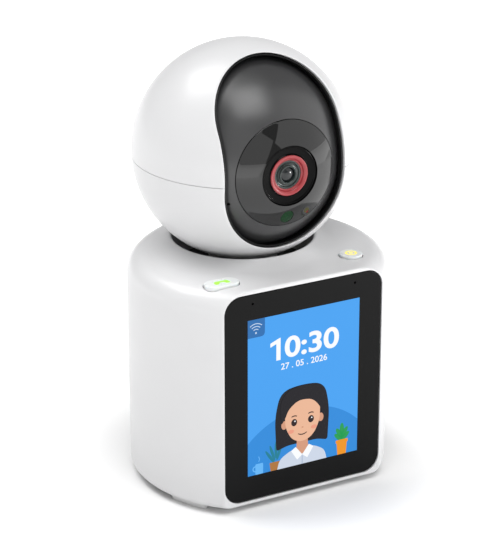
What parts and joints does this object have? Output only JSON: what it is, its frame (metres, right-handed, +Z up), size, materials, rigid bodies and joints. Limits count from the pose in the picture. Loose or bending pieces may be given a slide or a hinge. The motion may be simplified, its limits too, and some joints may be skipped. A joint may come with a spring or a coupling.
{
  "type": "smart display",
  "caption": "Tabletop smart display with a portrait screen in a round white body and a ball camera head that pans and tilts.",
  "frame": {"origin": "on the table, at the centre of the body's round plan", "axes": "+Z up, the screen and lens face -Y, +X to the right as the viewer sees it"},
  "size_m": [0.0904, 0.0821, 0.1527],
  "materials": {
    "white_shell": "satin moulded ABS",
    "button_cap": "satin translucent white",
    "icon_green": "lit green",
    "icon_yellow": "lit yellow",
    "foot_rubber": "soft light grey",
    "steel": "zinc plated",
    "motor_can": "pressed steel",
    "front_glass": "gloss black",
    "screen": "lit screen",
    "light_guide": "clear",
    "dark_plastic": "satin black",
    "circuit_board": "solder mask",
    "gear_plastic": "natural acetal",
    "liner_black": "satin black",
    "ball_black": "gloss black",
    "window_black": "dark tinted window",
    "red_trim": "anodised red",
    "lens_clear": "coated lens",
    "sensor_green": "green tinted",
    "led_red": "unlit red"
  },
  "bodies": {
    "base": {"main_shell": "white_shell", "base_plate": "white_shell", "feet": "foot_rubber", "base_screws": "steel", "display_glass": "front_glass", "lcd_panel": "screen", "backlight": "light_guide", "display_bracket": "dark_plastic", "bracket_screws": "steel", "main_board": "circuit_board", "processor_shield": "steel", "wifi_module": "steel", "board_screws": "steel", "usb_board": "circuit_board", "usb_port": "steel", "speaker": "dark_plastic", "button_board": "circuit_board", "button_switches": "steel", "button_board_screws": "steel", "chassis_plate": "dark_plastic", "chassis_screws": "steel", "pan_motor": "motor_can", "motor_screws": "steel", "neck_plate": "dark_plastic", "neck_screws": "steel", "pan_bushing": "gear_plastic"},
    "call_button": {"call_button": "button_cap", "call_icon": "icon_green"},
    "function_button": {"function_button": "button_cap", "function_icon": "icon_yellow"},
    "pan_drive": {"pan_motor_shaft": "steel", "pan_pinion": "gear_plastic"},
    "head": {"pan_hub": "gear_plastic", "hub_screws": "steel", "hub_clip": "steel", "pan_gear": "gear_plastic", "head_lower_shell": "white_shell", "head_upper_shell": "white_shell", "opening_liner": "liner_black", "tilt_bracket_left": "dark_plastic", "tilt_bracket_right": "dark_plastic", "tilt_bracket_screws": "steel", "tilt_gear": "gear_plastic"},
    "ball": {"ball_cover": "ball_black", "ball_rear": "dark_plastic", "ball_frame": "dark_plastic", "pivot_pins": "steel", "lens_window": "window_black", "lens_bezel": "liner_black", "red_ring": "red_trim", "lens_barrel": "liner_black", "lens_glass": "lens_clear", "lens_holder": "dark_plastic", "image_board": "circuit_board", "led_board": "circuit_board", "ir_leds": "light_guide", "sensor_window": "sensor_green", "status_led": "led_red", "tilt_motor": "motor_can"},
    "tilt_drive": {"tilt_pinion": "gear_plastic"}
  },
  "joints": [
    {"name": "pan", "type": "hinge", "parent": "base", "child": "head", "pos_m": [0, 0.0108, 0.1144], "axis": [0, 0, 1], "range_deg": [-175, 175]},
    {"name": "pan_pinion_spin", "type": "hinge", "parent": "base", "child": "pan_drive", "pos_m": [-0.0228, 0.0108, 0.0595], "axis": [0, 0, 1], "range_deg": [-660, 660]},
    {"name": "tilt", "type": "hinge", "parent": "head", "child": "ball", "pos_m": [0, 0.0108, 0.1144], "axis": [-1, 0, 0], "range_deg": [-15, 45]},
    {"name": "tilt_pinion_spin", "type": "hinge", "parent": "ball", "child": "tilt_drive", "pos_m": [-0.0272, 0.02535, 0.1228], "axis": [-1, 0, 0], "range_deg": [-40, 115]},
    {"name": "call_press", "type": "slide", "parent": "base", "child": "call_button", "axis": [0, 0, -1], "range_m": [0, 0.0005], "stiffness_N_per_m": 1500},
    {"name": "function_press", "type": "slide", "parent": "base", "child": "function_button", "axis": [0, 0, -1], "range_m": [0, 0.0005], "stiffness_N_per_m": 1500}
  ],
  "couplings": [
    {"joint": "pan_pinion_spin", "follows": "pan", "ratio": -3.75},
    {"joint": "tilt_pinion_spin", "follows": "tilt", "ratio": 2.5}
  ]
}
